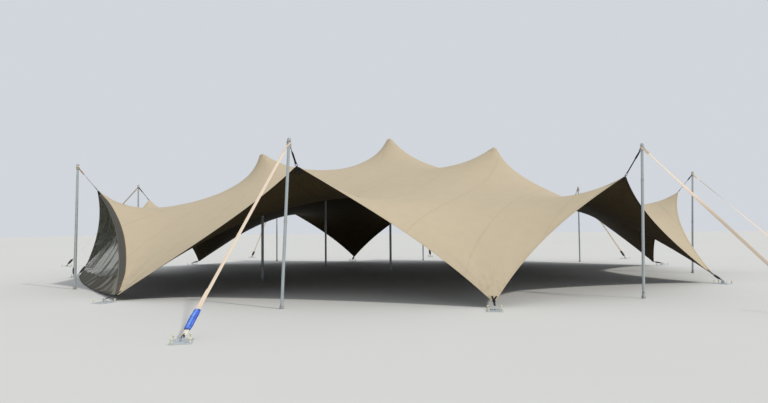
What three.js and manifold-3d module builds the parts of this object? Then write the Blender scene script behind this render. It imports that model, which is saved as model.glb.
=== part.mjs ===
// Stretch tent: one tensioned canopy over five inner poles and eight guyed side poles, tied down
// between them to staked plates, with a sheer wall in one side.
// Millimetres, +Z up, with the origin on the ground at the foot of the centre pole.
import * as THREE from "three";
import { mergeVertices } from "three/addons/utils/BufferGeometryUtils.js";
import Module from "manifold-3d";

// Fabric
const FABRIC_THICKNESS = 5;
const WALL_THICKNESS = 4;
const TOUCH_GAP = 0.3;
const NET_CELLS = 96;
const EDGE_STIFFNESS = 36;
const CAP_HALF_WIDTH = 60;
const TIP_HALF_WIDTH = 40;
const RELAX_ROUNDS = 1350;
const OVER_RELAX = 1.924;
const KEEP_EVERY = 4;
const PANEL_SEAMS = [0, 12, 32, 44, 52, 64, 76, 88, 92, NET_CELLS];
const EDGE_BAND_CUTS = [0, 12, 24, 36, NET_CELLS];
const WALL_BOW = 170;
const WALL_DROP = 50;
const WALL_TOP = 3;
const WALL_COLUMNS = 8;
const WALL_CORNER = [-9550, -3100, 45];
const WALL_CORNER_ROWS = 3;

// Poles
const SIDE_POLE = { height: 3200, radius: 30, footRadius: 42, footHeight: 60, headRadius: 38 };
const INNER_POLE = { radius: 38, footRadius: 50, footHeight: 70, padRadius: 55, padHeight: 70 };
const HEAD_HEIGHT = 150;
const ROUND_SIDES = 16;

// Webbing, ratchet covers and staked plates
const WEBBING = { width: 50, thickness: 5 };
const STRAP_HEIGHT = 3110;
const COVER = { length: 340, width: 105, thickness: 60, fromAnchor: 75 };
const PLATE = { length: 380, width: 290, thickness: 12 };
const STAKE = { radius: 14, height: 85, inset: 30 };
const POST = { radius: 22, height: 45 };
const LUG = { radius: 18, length: 90 };
const SHARED_PLATE_OFFSET = 115;

// The fastening points in order round the edge, starting at the front and going anticlockwise.
// A low point is a tip of the fabric and the plate that it is tied to.
const LOW_POINTS = [
  { tip: [3415, -9050, 135], plate: [3430, -9415] },
  { tip: [8990, -3490, 250], plate: [9180, -3700] },
  { tip: [9440, 3950, 140], plate: [9800, 4080] },
  { tip: [3700, 6500, 200], plate: [3850, 6880] },
  { tip: [-2700, 6230, 250], plate: [-2870, 6620] },
  { tip: [-8950, 3750, 160], plate: [-9330, 3880] },
  { tip: [-9443, -2834, 453], plate: [-9720, -2920] },
  { tip: [-4390, -8800, 130], plate: [-4460, -9110] },
];
// A high point is a tip of the fabric, the foot of its side pole, the plate of its guy, how far
// the pole's top leans away from above its foot, and how far the plate is turned out of the guy's
// line, in degrees.
const HIGH_POINTS = [
  { tip: [6220, -6840, 2530], pole: [6445, -7210], plate: [8600, -9550], lean: [55, 10] },
  { tip: [9250, 0, 2550], pole: [9607, -16], plate: [12900, -260], lean: [93, 16] },
  { tip: [6800, 5960, 2550], pole: [7100, 6300], plate: [9500, 9000] },
  { tip: [300, 6950, 2600], pole: [300, 7400], plate: [300, 10800] },
  { tip: [-6220, 6250, 2550], pole: [-6500, 6600], plate: [-9100, 9900] },
  { tip: [-9150, 200, 2600], pole: [-9600, 200], plate: [-14300, 2450] },
  { tip: [-6700, -6220, 2530], pole: [-7049, -6591], plate: null, lean: [33, 6] },
  { tip: [-350, -9040, 2695], pole: [-470, -9595], plate: [-662, -12920], lean: [142, 25], turned: 30 },
];
const INNER_POLES = [
  { name: "centre_pole", foot: [0, 0], height: 4530 },
  { name: "inner_pole_1", foot: [-3200, -3600], height: 3660 },
  { name: "inner_pole_2", foot: [3500, -3400], height: 3660 },
  { name: "inner_pole_3", foot: [3300, 3300], height: 3660 },
  { name: "inner_pole_4", foot: [-3100, 2900], height: 3660 },
];
// The wall hangs at this high point, and this many of them come before the net's edge that it is on.
const WALL_HIGH_POINT = 6;
const HIGH_POINTS_BEFORE_EDGE = 6;

// Finishes
const CANVAS = { color: 0xc8b89b, roughness: 0.85, metalness: 0, side: THREE.DoubleSide };
const SHEER = { color: 0x6f6c5c, roughness: 0.9, metalness: 0 };
const GALVANISED = { color: 0xa8adb0, roughness: 0.45, metalness: 0.8 };
const STEEL = { color: 0x8f9497, roughness: 0.5, metalness: 0.8 };
const BLACK_WEB = { color: 0x1b1b1c, roughness: 0.8, metalness: 0 };
const PEACH_WEB = { color: 0xcfa783, roughness: 0.8, metalness: 0 };

const wasm = await Module();
wasm.setup();

// A manifold solid of a closed three.js geometry.
function solidOf(geometry) {
  const bare = geometry.clone();
  bare.deleteAttribute("normal");
  bare.deleteAttribute("uv");
  const merged = mergeVertices(bare, 1e-3);
  return new wasm.Manifold(
    new wasm.Mesh({
      numProp: 3,
      vertProperties: new Float32Array(merged.attributes.position.array),
      triVerts: new Uint32Array(merged.index.array),
    }),
  );
}

// One geometry of several overlapping ones.
function joined(geometries) {
  const solid = geometries.map(solidOf).reduce((all, one) => all.add(one));
  const mesh = solid.getMesh();
  const geometry = new THREE.BufferGeometry();
  geometry.setAttribute("position", new THREE.BufferAttribute(mesh.vertProperties, 3));
  geometry.setIndex(new THREE.BufferAttribute(mesh.triVerts, 1));
  geometry.computeVertexNormals();
  return geometry;
}

function addMesh(group, name, geometry, finish) {
  const mesh = new THREE.Mesh(geometry, new THREE.MeshStandardMaterial(finish));
  mesh.name = name;
  group.add(mesh);
  return mesh;
}

const vector = (point) => new THREE.Vector3(...point);

// A frame whose X axis runs along a line, whose Y axis is level and whose Z axis faces up.
function frameAlong(from, to) {
  const along = new THREE.Vector3().subVectors(to, from).normalize();
  const across = new THREE.Vector3(-along.y, along.x, 0).normalize();
  const up = new THREE.Vector3().crossVectors(along, across);
  return new THREE.Matrix4().makeBasis(along, across, up).setPosition(from);
}

// The point on a side pole's axis where its straps are fastened.
function poleHead({ pole, lean = [0, 0] }) {
  const share = STRAP_HEIGHT / SIDE_POLE.height;
  return new THREE.Vector3(pole[0] + lean[0] * share, pole[1] + lean[1] * share, STRAP_HEIGHT);
}

// Where the fabric's edge is fastened: sixteen tips, low and high in turn, each with the
// direction in which its webbing pulls.
function fastenings() {
  return LOW_POINTS.flatMap((low, index) => {
    const high = HIGH_POINTS[index];
    const lowPull = vector([...low.plate, STAKE.height]).sub(vector(low.tip));
    const highPull = poleHead(high).sub(vector(high.tip));
    return [
      { tip: vector(low.tip), pull: lowPull.normalize() },
      { tip: vector(high.tip), pull: highPull.normalize() },
    ];
  });
}

// Every fourth line of the net is kept for the solid sheets, and the lines beside tips and pads.
function linesToKeep(special) {
  const lines = new Set(special.flatMap((line) => [line - 1, line, line + 1]));
  for (let line = 0; line <= NET_CELLS; line += KEEP_EVERY) lines.add(line);
  return [...lines].filter((line) => line >= 0 && line <= NET_CELLS).sort((a, b) => a - b);
}

// The net that the fabric is shaped on: square cells, pinned at the sixteen tips and on the
// pads of the inner poles, and relaxed until each free knot is in balance.
function makeNet() {
  const n = NET_CELLS;
  const stride = n + 1;
  const at = (i, j) => i * stride + j;
  const knots = Array.from({ length: stride * stride }, () => new THREE.Vector3());
  const pinned = new Map();
  const ring = [
    ...Array.from({ length: n }, (_, k) => at(k, 0)),
    ...Array.from({ length: n }, (_, k) => at(n, k)),
    ...Array.from({ length: n }, (_, k) => at(n - k, n)),
    ...Array.from({ length: n }, (_, k) => at(0, n - k)),
  ];

  const points = fastenings();
  const span = ring.length / points.length;
  points.forEach(({ tip, pull }, index) => {
    const across = new THREE.Vector3(-pull.y, pull.x, 0).normalize();
    const facing = new THREE.Vector3().crossVectors(pull, across);
    for (const side of [-1, 0, 1]) {
      const knot = ring[(index * span + side + ring.length) % ring.length];
      knots[knot].copy(tip).addScaledVector(across, side * TIP_HALF_WIDTH);
      pinned.set(knot, facing);
    }
  });
  ring.forEach((knot, k) => {
    if (pinned.has(knot)) return;
    const part = (k % span) / span;
    const before = points[Math.floor(k / span)].tip;
    const after = points[(Math.floor(k / span) + 1) % points.length].tip;
    knots[knot].lerpVectors(before, after, part);
  });

  const corner = (i, j) => knots[at(i, j)];
  for (let i = 1; i < n; i++)
    for (let j = 1; j < n; j++) {
      const [u, v] = [i / n, j / n];
      corner(i, j)
        .copy(corner(i, 0)).multiplyScalar(1 - v)
        .addScaledVector(corner(i, n), v)
        .addScaledVector(corner(0, j), 1 - u)
        .addScaledVector(corner(n, j), u)
        .addScaledVector(corner(0, 0), -(1 - u) * (1 - v))
        .addScaledVector(corner(n, 0), -u * (1 - v))
        .addScaledVector(corner(0, n), -(1 - u) * v)
        .addScaledVector(corner(n, n), -u * v);
    }

  const tipLines = [0, span, 2 * span, 3 * span, n];
  const [special, specialAcross] = [[...tipLines], [...tipLines]];
  for (const { foot, height } of INNER_POLES) {
    const [x, y] = foot;
    let best = { distance: Infinity };
    for (let i = 2; i < n - 1; i++)
      for (let j = 2; j < n - 1; j++) {
        const distance = Math.hypot(corner(i, j).x - x, corner(i, j).y - y);
        if (distance < best.distance) best = { distance, i, j };
      }
    const alongU = corner(best.i + 1, best.j).clone().sub(corner(best.i - 1, best.j));
    const turn = Math.atan2(alongU.y, alongU.x);
    const z = height + FABRIC_THICKNESS / 2;
    for (const a of [-1, 0, 1])
      for (const b of [-1, 0, 1]) {
        const dx = (a * Math.cos(turn) - b * Math.sin(turn)) * CAP_HALF_WIDTH;
        const dy = (a * Math.sin(turn) + b * Math.cos(turn)) * CAP_HALF_WIDTH;
        corner(best.i + a, best.j + b).set(x + dx, y + dy, z);
        pinned.set(at(best.i + a, best.j + b), new THREE.Vector3(0, 0, 1));
      }
    special.push(best.i);
    specialAcross.push(best.j);
  }

  relax(n, at, knots, pinned);
  const normals = facingsOf(n, at, knots);
  pinned.forEach((facing, knot) => normals[knot].copy(facing));
  const [rows, columns] = [linesToKeep(special), linesToKeep(specialAcross)];
  return { n, at, knots, normals, span, rows, columns };
}

// Moves each free knot to the balance of its links, over and over. Links along the edge pull
// harder, as the webbing in the hem does.
function relax(n, at, knots, pinned) {
  const free = [];
  for (let i = 0; i <= n; i++)
    for (let j = 0; j <= n; j++) {
      if (pinned.has(at(i, j))) continue;
      const links = [];
      for (const [di, dj] of [[1, 0], [-1, 0], [0, 1], [0, -1]]) {
        const [a, b] = [i + di, j + dj];
        if (a < 0 || b < 0 || a > n || b > n) continue;
        const onEdge = (di === 0 && (i === 0 || i === n)) || (dj === 0 && (j === 0 || j === n));
        links.push({ knot: knots[at(a, b)], pull: onEdge ? EDGE_STIFFNESS : 1 });
      }
      const total = links.reduce((all, link) => all + link.pull, 0);
      free.push({ knot: knots[at(i, j)], links, total });
    }
  const sum = new THREE.Vector3();
  for (let round = 0; round < RELAX_ROUNDS; round++)
    for (const { knot, links, total } of free) {
      sum.set(0, 0, 0);
      for (const link of links) sum.addScaledVector(link.knot, link.pull);
      knot.lerp(sum.divideScalar(total), OVER_RELAX);
    }
}

// The way that the net faces at each knot.
function facingsOf(n, at, knots) {
  const normals = knots.map(() => new THREE.Vector3());
  const [u, v, cross] = [new THREE.Vector3(), new THREE.Vector3(), new THREE.Vector3()];
  for (let i = 0; i < n; i++)
    for (let j = 0; j < n; j++) {
      u.subVectors(knots[at(i + 1, j + 1)], knots[at(i, j)]);
      v.subVectors(knots[at(i, j + 1)], knots[at(i + 1, j)]);
      cross.crossVectors(u, v);
      for (const knot of [at(i, j), at(i + 1, j), at(i, j + 1), at(i + 1, j + 1)])
        normals[knot].add(cross);
    }
  normals.forEach((normal) => normal.normalize());
  return normals;
}

// A closed sheet of even thickness from a grid of points and the way that each one faces.
function sheet(rows, facings, thickness) {
  const [height, width] = [rows.length, rows[0].length];
  const positions = [];
  for (const side of [1, -1])
    rows.forEach((row, r) =>
      row.forEach((point, c) => {
        const shifted = point.clone().addScaledVector(facings[r][c], (side * thickness) / 2);
        positions.push(shifted.x, shifted.y, shifted.z);
      }),
    );
  const top = (r, c) => r * width + c;
  const bottom = (r, c) => height * width + top(r, c);
  const triangles = [];
  for (let r = 0; r < height - 1; r++)
    for (let c = 0; c < width - 1; c++) {
      const [a, b, d, e] = [[r, c], [r + 1, c], [r + 1, c + 1], [r, c + 1]];
      triangles.push(top(...a), top(...b), top(...d), top(...a), top(...d), top(...e));
      triangles.push(bottom(...a), bottom(...d), bottom(...b));
      triangles.push(bottom(...a), bottom(...e), bottom(...d));
    }
  // Facing rims of neighbouring sheets are split along the same diagonal, so that they stay apart.
  const wall = (low, high) => {
    triangles.push(top(...low), bottom(...low), bottom(...high));
    triangles.push(top(...low), bottom(...high), top(...high));
  };
  const facingWall = (low, high) => {
    triangles.push(top(...low), bottom(...high), bottom(...low));
    triangles.push(top(...low), top(...high), bottom(...high));
  };
  for (let r = 0; r < height - 1; r++) {
    wall([r, 0], [r + 1, 0]);
    facingWall([r, width - 1], [r + 1, width - 1]);
  }
  for (let c = 0; c < width - 1; c++) {
    wall([height - 1, c], [height - 1, c + 1]);
    facingWall([0, c], [0, c + 1]);
  }
  const geometry = new THREE.BufferGeometry();
  geometry.setAttribute("position", new THREE.Float32BufferAttribute(positions, 3));
  geometry.setIndex(triangles);
  geometry.computeVertexNormals();
  return geometry;
}

// The canopy is cut into panels along lines of the net, with a hair's gap at each welded seam.
// The last one, along the back left edge, is cut across as well.
function makeCanopy(group, net) {
  const { n, at, knots, normals } = net;
  const spans = (cuts) => cuts.slice(1).map((last, index) => [cuts[index], last]);
  const within = (lines, [first, last]) => lines.filter((line) => line >= first && line <= last);
  const inset = (line, [first, last]) => {
    if (line === first && first > 0) return TOUCH_GAP / 2;
    return line === last && last < n ? -TOUCH_GAP / 2 : 0;
  };
  const bands = spans(PANEL_SEAMS);
  const panels = bands.flatMap((band, index) => {
    const cuts = index === bands.length - 1 ? EDGE_BAND_CUTS : [0, n];
    return spans(cuts).map((part) => ({ band, part }));
  });
  panels.forEach(({ band, part }, index) => {
    const [rows, columns] = [within(net.rows, part), within(net.columns, band)];
    const facings = rows.map((i) => columns.map((j) => normals[at(i, j)]));
    const points = rows.map((i) =>
      columns.map((j) => {
        const ahead = knots[at(Math.min(i + 1, n), j)];
        const behind = knots[at(Math.max(i - 1, 0), j)];
        const along = new THREE.Vector3().subVectors(ahead, behind).normalize();
        const away = new THREE.Vector3().crossVectors(normals[at(i, j)], along).normalize();
        const point = knots[at(i, j)].clone().addScaledVector(away, inset(j, band));
        return point.addScaledVector(along, inset(i, part));
      }),
    );
    addMesh(group, `canopy_panel_${index + 1}`, sheet(points, facings, FABRIC_THICKNESS), CANVAS);
  });
}

// The sheer wall hangs under the canopy's front edge on both sides of one high point, down to a
// hem that bows outwards just above the ground. Each row joins the two halves of that edge. At the
// left the fabric's tip is higher up, and from there the wall's border goes on to the ground.
function makeWall(group, net) {
  const { n, at, knots, normals, span, columns } = net;
  const middle = n - span * (2 * (WALL_HIGH_POINT - HIGH_POINTS_BEFORE_EDGE) + 1);
  const drop = FABRIC_THICKNESS / 2 + WALL_THICKNESS / 2 + TOUCH_GAP;
  const hung = (j) => knots[at(0, j)].clone().addScaledVector(normals[at(0, j)], -drop);
  const edge = (j) => {
    const next = columns.findIndex((line) => line >= j);
    const [before, after] = [columns[Math.max(next - 1, 0)], columns[next]];
    return hung(before).lerp(hung(after), (j - before) / (after - before));
  };
  const steps = columns.map((j) => Math.abs(j - middle)).filter((r) => r >= WALL_TOP && r <= span);
  const reaches = [...new Set(steps)].sort((a, b) => a - b);
  const [tip, first, last] = [edge(middle + span), vector(WALL_CORNER), edge(middle - span)];
  const outward = new THREE.Vector3(last.y - first.y, first.x - last.x, 0).normalize();
  const border = reaches.map((reach) => edge(middle + reach));
  for (let k = 1; k <= WALL_CORNER_ROWS; k++)
    border.push(tip.clone().lerp(first, k / WALL_CORNER_ROWS));
  const between = reaches.slice(-WALL_CORNER_ROWS).map((reach) => {
    const before = reaches[reaches.indexOf(reach) - 1];
    return (before + reach) / 2;
  });
  const rightReaches = [...reaches, ...between].sort((a, b) => a - b);
  const rows = rightReaches.map((reach, r) => {
    const [left, right] = [border[r], edge(middle - reach)];
    return Array.from({ length: WALL_COLUMNS + 1 }, (_, c) => {
      const s = c / WALL_COLUMNS;
      const belly = (4 * s * (1 - s) * reach) / span;
      const point = left.clone().lerp(right, s).addScaledVector(outward, WALL_BOW * belly);
      point.z -= WALL_DROP * belly;
      return point;
    });
  });
  const facings = rows.map((row, r) =>
    row.map((point, c) => {
      const down = rows[Math.min(r + 1, rows.length - 1)][c].clone().sub(rows[Math.max(r - 1, 0)][c]);
      const along = row[Math.min(c + 1, WALL_COLUMNS)].clone().sub(row[Math.max(c - 1, 0)]);
      return down.cross(along).normalize();
    }),
  );
  addMesh(group, "mesh_wall", sheet(rows, facings, WALL_THICKNESS), SHEER);
}

// A pole turned about its own axis, from a list of [radius, height] steps.
function turned(steps) {
  const profile = [[0, 0], ...steps, [0, steps.at(-1)[1]]].map(([r, z]) => new THREE.Vector2(r, z));
  return new THREE.LatheGeometry(profile, ROUND_SIDES).rotateX(Math.PI / 2);
}

function makeSidePole(group, name, { pole, lean = [0, 0] }) {
  const { height, radius, footRadius, footHeight, headRadius } = SIDE_POLE;
  const collar = height - HEAD_HEIGHT;
  const geometry = turned([
    [footRadius, 0],
    [footRadius, footHeight * 0.6],
    [radius, footHeight],
    [radius, collar],
    [headRadius, collar],
    [headRadius, height - 30],
    [radius * 0.5, height],
  ]);
  const [leanX, leanY] = lean.map((offset) => offset / height);
  geometry.applyMatrix4(new THREE.Matrix4().makeShear(0, 0, 0, 0, leanX, leanY));
  addMesh(group, name, geometry, GALVANISED).position.set(...pole, 0);
}

function makeInnerPole(group, { name, foot, height }) {
  const { radius, footRadius, footHeight, padRadius, padHeight } = INNER_POLE;
  const top = height - TOUCH_GAP;
  const geometry = turned([
    [footRadius, 0],
    [footRadius, footHeight * 0.6],
    [radius, footHeight],
    [radius, top - padHeight],
    [padRadius, top - padHeight * 0.4],
    [padRadius, top],
  ]);
  addMesh(group, name, geometry, GALVANISED).position.set(foot[0], foot[1], 0);
}

// A flat strap along the X axis from start to end.
function webbing(start, end) {
  return new THREE.BoxGeometry(end - start, WEBBING.width, WEBBING.thickness)
    .translate((start + end) / 2, 0, 0);
}

// The distance short of a leaning pole's axis at which a strap's square end touches its head.
function endSetback(from, to, { lean = [0, 0] }) {
  const along = to.clone().sub(from).normalize();
  const rise = along.z / SIDE_POLE.height;
  const level = Math.hypot(along.x - lean[0] * rise, along.y - lean[1] * rise);
  const reach = SIDE_POLE.headRadius + TOUCH_GAP;
  return (reach + (WEBBING.thickness / 2) * Math.abs(along.z)) / level;
}

function makeTipStrap(group, name, high) {
  const from = vector(high.tip);
  const to = poleHead(high);
  const end = from.distanceTo(to) - endSetback(from, to, high);
  addMesh(group, name, webbing(TOUCH_GAP, end), BLACK_WEB).applyMatrix4(frameAlong(from, to));
}

// The eye on a plate's post, where a guy's lug starts.
function plateEye(plate) {
  return vector([...plate, POST.height - LUG.radius / 2]);
}

function post([x, y], height) {
  return new THREE.CylinderGeometry(POST.radius, POST.radius, height, ROUND_SIDES)
    .rotateX(Math.PI / 2)
    .translate(x, y, height / 2);
}

function makeGuy(group, name, high, plate) {
  const from = plateEye(plate);
  const to = poleHead(high);
  const start = LUG.length + TOUCH_GAP;
  const end = from.distanceTo(to) - endSetback(from, to, high);
  const cover = new THREE.BoxGeometry(COVER.length, COVER.width, COVER.thickness)
    .translate(start + COVER.fromAnchor + COVER.length / 2, 0, 0);
  const geometry = joined([webbing(start, end), cover]);
  addMesh(group, name, geometry, PEACH_WEB).applyMatrix4(frameAlong(from, to));
}

function lug(plate, toward) {
  return new THREE.CylinderGeometry(LUG.radius, LUG.radius, LUG.length, ROUND_SIDES)
    .rotateZ(Math.PI / 2)
    .translate(LUG.length / 2, 0, 0)
    .applyMatrix4(frameAlong(plateEye(plate), toward));
}

// A ground plate with a stake in each corner, lying in line with the strap that it holds or turned
// out of that line.
function stakedPlate(plate, toward, turned = 0) {
  const inLine = Math.atan2(toward.y - plate[1], toward.x - plate[0]);
  const turn = inLine + THREE.MathUtils.degToRad(turned);
  const base = new THREE.BoxGeometry(PLATE.length, PLATE.width, PLATE.thickness)
    .translate(0, 0, PLATE.thickness / 2);
  const stakes = [[1, 1], [1, -1], [-1, 1], [-1, -1]].map(([a, b]) =>
    new THREE.CylinderGeometry(STAKE.radius, STAKE.radius, STAKE.height, 10)
      .rotateX(Math.PI / 2)
      .translate(
        a * (PLATE.length / 2 - STAKE.inset),
        b * (PLATE.width / 2 - STAKE.inset),
        STAKE.height / 2,
      ),
  );
  return [base, ...stakes].map((g) => g.rotateZ(turn).translate(plate[0], plate[1], 0));
}

function makeGuyAnchor(group, name, high) {
  const { plate, turned: turn } = high;
  const toward = poleHead(high);
  const base = stakedPlate(plate, toward, turn);
  addMesh(group, name, joined([...base, post(plate, POST.height), lug(plate, toward)]), STEEL);
}

// A guy without a plate of its own is held at one side of the hold-down's plate next to it.
function sharedEye(low, { pole }) {
  const [dx, dy] = [pole[0] - low.plate[0], pole[1] - low.plate[1]];
  const scale = SHARED_PLATE_OFFSET / Math.hypot(dx, dy);
  return [low.plate[0] + dy * scale, low.plate[1] - dx * scale];
}

// A hold-down is a plate with the short strap that comes from the fabric's tip, and one more
// lug where a guy shares it.
function makeHoldDown(group, name, low, high) {
  const from = vector(low.tip);
  const to = vector([...low.plate, STAKE.height]);
  const strap = webbing(TOUCH_GAP, from.distanceTo(to)).applyMatrix4(frameAlong(from, to));
  const pieces = [...stakedPlate(low.plate, from), strap, post(low.plate, STAKE.height + POST.radius)];
  if (!high.plate) {
    const eye = sharedEye(low, high);
    pieces.push(post(eye, POST.height), lug(eye, poleHead(high)));
  }
  addMesh(group, name, joined(pieces), STEEL);
}

const tent = new THREE.Group();
const net = makeNet();
makeCanopy(tent, net);
makeWall(tent, net);
INNER_POLES.forEach((pole) => makeInnerPole(tent, pole));
HIGH_POINTS.forEach((high, index) => {
  const number = index + 1;
  const low = LOW_POINTS[index];
  makeSidePole(tent, `side_pole_${number}`, high);
  makeTipStrap(tent, `tip_strap_${number}`, high);
  makeGuy(tent, `guy_${number}`, high, high.plate ?? sharedEye(low, high));
  if (high.plate) makeGuyAnchor(tent, `guy_anchor_${number}`, high);
  makeHoldDown(tent, `hold_down_${number}`, low, high);
});

export default tent;
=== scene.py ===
# Looks of the stretch tent, in metres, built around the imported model.
# The canopy is shaped by the same net as its solids and is drawn as one continuous sheet.
import math

import bmesh
import bpy
import numpy as np
from mathutils import Matrix, Vector
from mathutils.bvhtree import BVHTree
from mathutils.kdtree import KDTree


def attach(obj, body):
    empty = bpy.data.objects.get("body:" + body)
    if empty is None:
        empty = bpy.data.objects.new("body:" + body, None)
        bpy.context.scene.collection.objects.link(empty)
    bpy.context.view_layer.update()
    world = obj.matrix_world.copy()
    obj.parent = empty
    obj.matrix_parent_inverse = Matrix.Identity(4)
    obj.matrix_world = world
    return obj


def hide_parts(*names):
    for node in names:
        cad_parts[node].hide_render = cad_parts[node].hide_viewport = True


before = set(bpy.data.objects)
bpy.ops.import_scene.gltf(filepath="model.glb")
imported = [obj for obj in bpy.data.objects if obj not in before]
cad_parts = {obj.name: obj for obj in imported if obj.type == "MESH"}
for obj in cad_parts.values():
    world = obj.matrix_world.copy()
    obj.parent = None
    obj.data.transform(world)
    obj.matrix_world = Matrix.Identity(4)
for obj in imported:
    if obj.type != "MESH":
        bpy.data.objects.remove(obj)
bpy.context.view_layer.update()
NODES = list(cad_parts)

# Camera: a standing person in front of the tent, a little to its right.
EYE = (3.37, -20.32, 1.47)
HEADING = math.radians(10)
PITCH = math.radians(92.6)
ROLL = math.radians(-0.49)
LENS = 28.125
SENSOR = 36.0

# The net, as in the solids
CELLS = 96
FINE = 2
EDGE_STIFFNESS = 36
CAP_HALF_WIDTH = 0.060
TIP_HALF_WIDTH = 0.040
# Rounds of relaxing and how far past its balance each knot is moved, on the coarse and fine nets.
COARSE_RELAX = (1300, 1.924)
FINE_RELAX = (500, 1.965)
CAD_FABRIC = 0.005
FABRIC_HALF = 0.0015
PEAK = 0.052

POLE_HEIGHT = 3.2
POLE_RADIUS = 0.030
HEAD_RADIUS = 0.038
STRAP_HEIGHT = 3.110
PLATE = (0.380, 0.290, 0.012)
STAKE_HEIGHT = 0.085
STAKE_INSET = 0.030
POST_HEIGHT = 0.045
LUG_LENGTH = 0.090
SHARED_OFFSET = 0.115
FRONT_PLATE_TURN = math.radians(30)
WALL_BOW = 0.17
WALL_DROP = 0.05
WALL_CORNER = 72
WALL_GROUND = (-9.55, -3.10, 0.045)
# Rows of the wall, counted in cells from its high corner: down its left border and its right one.
LEFT_ROWS = (2, 17, 20, 23, 24, 24 + 1 / 3, 24 + 2 / 3, 25)
RIGHT_ROWS = (2, 17, 18.5, 20, 21.5, 23, 23.5, 24)

# Each low point: the fabric's tip and its plate.
LOW_POINTS = [
    ((3.415, -9.05, 0.135), (3.43, -9.415)),
    ((8.99, -3.49, 0.25), (9.18, -3.70)),
    ((9.44, 3.95, 0.14), (9.80, 4.08)),
    ((3.70, 6.50, 0.20), (3.85, 6.88)),
    ((-2.70, 6.23, 0.25), (-2.87, 6.62)),
    ((-8.95, 3.75, 0.16), (-9.33, 3.88)),
    ((-9.443, -2.834, 0.453), (-9.72, -2.92)),
    ((-4.39, -8.80, 0.13), (-4.46, -9.11)),
]
# Each high point: the fabric's tip, the pole's foot, the guy's plate and the pole's lean.
HIGH_POINTS = [
    ((6.22, -6.84, 2.53), (6.445, -7.21), (8.60, -9.55), (0.055, 0.010)),
    ((9.25, 0.0, 2.55), (9.607, -0.016), (12.90, -0.26), (0.093, 0.016)),
    ((6.80, 5.96, 2.55), (7.10, 6.30), (9.50, 9.00), (0, 0)),
    ((0.30, 6.95, 2.60), (0.30, 7.40), (0.30, 10.80), (0, 0)),
    ((-6.22, 6.25, 2.55), (-6.50, 6.60), (-9.10, 9.90), (0, 0)),
    ((-9.15, 0.20, 2.60), (-9.60, 0.20), (-14.30, 2.45), (0, 0)),
    ((-6.70, -6.22, 2.53), (-7.049, -6.591), None, (0.033, 0.006)),
    ((-0.35, -9.04, 2.695), (-0.47, -9.595), (-0.662, -12.92), (0.142, 0.025)),
]
MASTS = [
    ("centre_pole", (0, 0), 4.53),
    ("inner_pole_1", (-3.2, -3.6), 3.66),
    ("inner_pole_2", (3.5, -3.4), 3.66),
    ("inner_pole_3", (3.3, 3.3), 3.66),
    ("inner_pole_4", (-3.1, 2.9), 3.66),
]
SEAM_START = 4.3
SEAM_PITCH = 7.1
SEAM_SLANT = 0.29
SEAM_TAPE = (-0.013, 0, 0.013)
PATCH_REACH = ((1, 0.17), (-1, 0.21))
WALL_HALF = 0.0008
HEADER_WIDE = 0.115
# The points that fold the wall's header round the canopy's edge: how far in, and how high.
HEADER_FOLD = ((0.012, 0.0048), (0.004, 0.0048), (-0.0045, 0.003))
STRAP_WIDE = 0.038
GUY_WIDE = 0.060
GUY_LAY = (0.85, 0.5, -0.4, 0.2, -0.2, -0.5, -0.3, 0.0)
COVER = (0.340, 0.105, 0.060)
COVER_AFTER_LUG = 0.075
SHACKLE_REACH = 0.052
SHACKLE_BEND = 0.020
# How far a bracket's pin lies below its top, and how deep laid strips are sunk into the fabric.
PIN_DROP = 0.022
SUNK = 0.0004
MAST_RADIUS = 0.038
TO_SUN = (0.619, -0.293, 0.731)
SUN_COLOUR = (1.0, 0.97, 0.92)
SKY_COLOUR = (0.80, 0.84, 0.90, 1)


def unit(v):
    v = np.asarray(v, float)
    return v / np.maximum(np.linalg.norm(v, axis=-1, keepdims=True), 1e-12)


def smooth(x, low, high):
    t = np.clip((np.asarray(x, float) - low) / (high - low), 0, 1)
    return t * t * (3 - 2 * t)


def level_across(direction):
    return unit((-direction[1], direction[0], 0))


# Level ways ahead and aside, at an angle to the X axis.
def level_axes(turn):
    ahead = np.array((math.cos(turn), math.sin(turn), 0))
    return ahead, np.array((-ahead[1], ahead[0], 0))


def circle(count):
    return np.arange(count) * 2 * math.pi / count


# Ways round a circle, from two unit ways in its plane.
def sweep(a, b, angle):
    return a * np.cos(angle) + b * np.sin(angle)


def sizes(vectors):
    return np.linalg.norm(vectors, axis=-1)


def arc_lengths(path):
    return np.concatenate([[0], np.cumsum(sizes(np.diff(path, axis=0)))])


def tangents(path, loop=False):
    if loop:
        return unit(np.roll(path, -1, axis=0) - np.roll(path, 1, axis=0))
    return unit(np.gradient(path, axis=0))


# Each way without its share along another unit way.
def square_to(way, other):
    return way - other * (way * other).sum(-1, keepdims=True)


# Points at places along a line of points, whose own places are in lines.
def read_line(places, lines, points):
    return np.stack([np.interp(places, lines, points[:, k]) for k in range(3)], -1)


# A strip's coordinates for its finish: length along it, place across it, share of its half width.
def strip_along(lengths, across, share=0.0):
    return np.stack(np.broadcast_arrays(np.asarray(lengths, float)[:, None], across, share), -1)


def pole_head(high):
    _, pole, _, lean = high
    share = STRAP_HEIGHT / POLE_HEIGHT
    return np.array((pole[0] + lean[0] * share, pole[1] + lean[1] * share, STRAP_HEIGHT))


def make_camera():
    data = bpy.data.cameras.new("camera")
    data.lens, data.sensor_width, data.sensor_fit = LENS, SENSOR, "HORIZONTAL"
    data.clip_end = 500
    camera = bpy.data.objects.new("camera", data)
    turn = Matrix.Rotation(HEADING, 4, "Z") @ Matrix.Rotation(PITCH, 4, "X")
    camera.matrix_world = Matrix.Translation(EYE) @ turn @ Matrix.Rotation(ROLL, 4, "Z")
    bpy.context.scene.collection.objects.link(camera)
    bpy.context.scene.camera = camera


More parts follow.
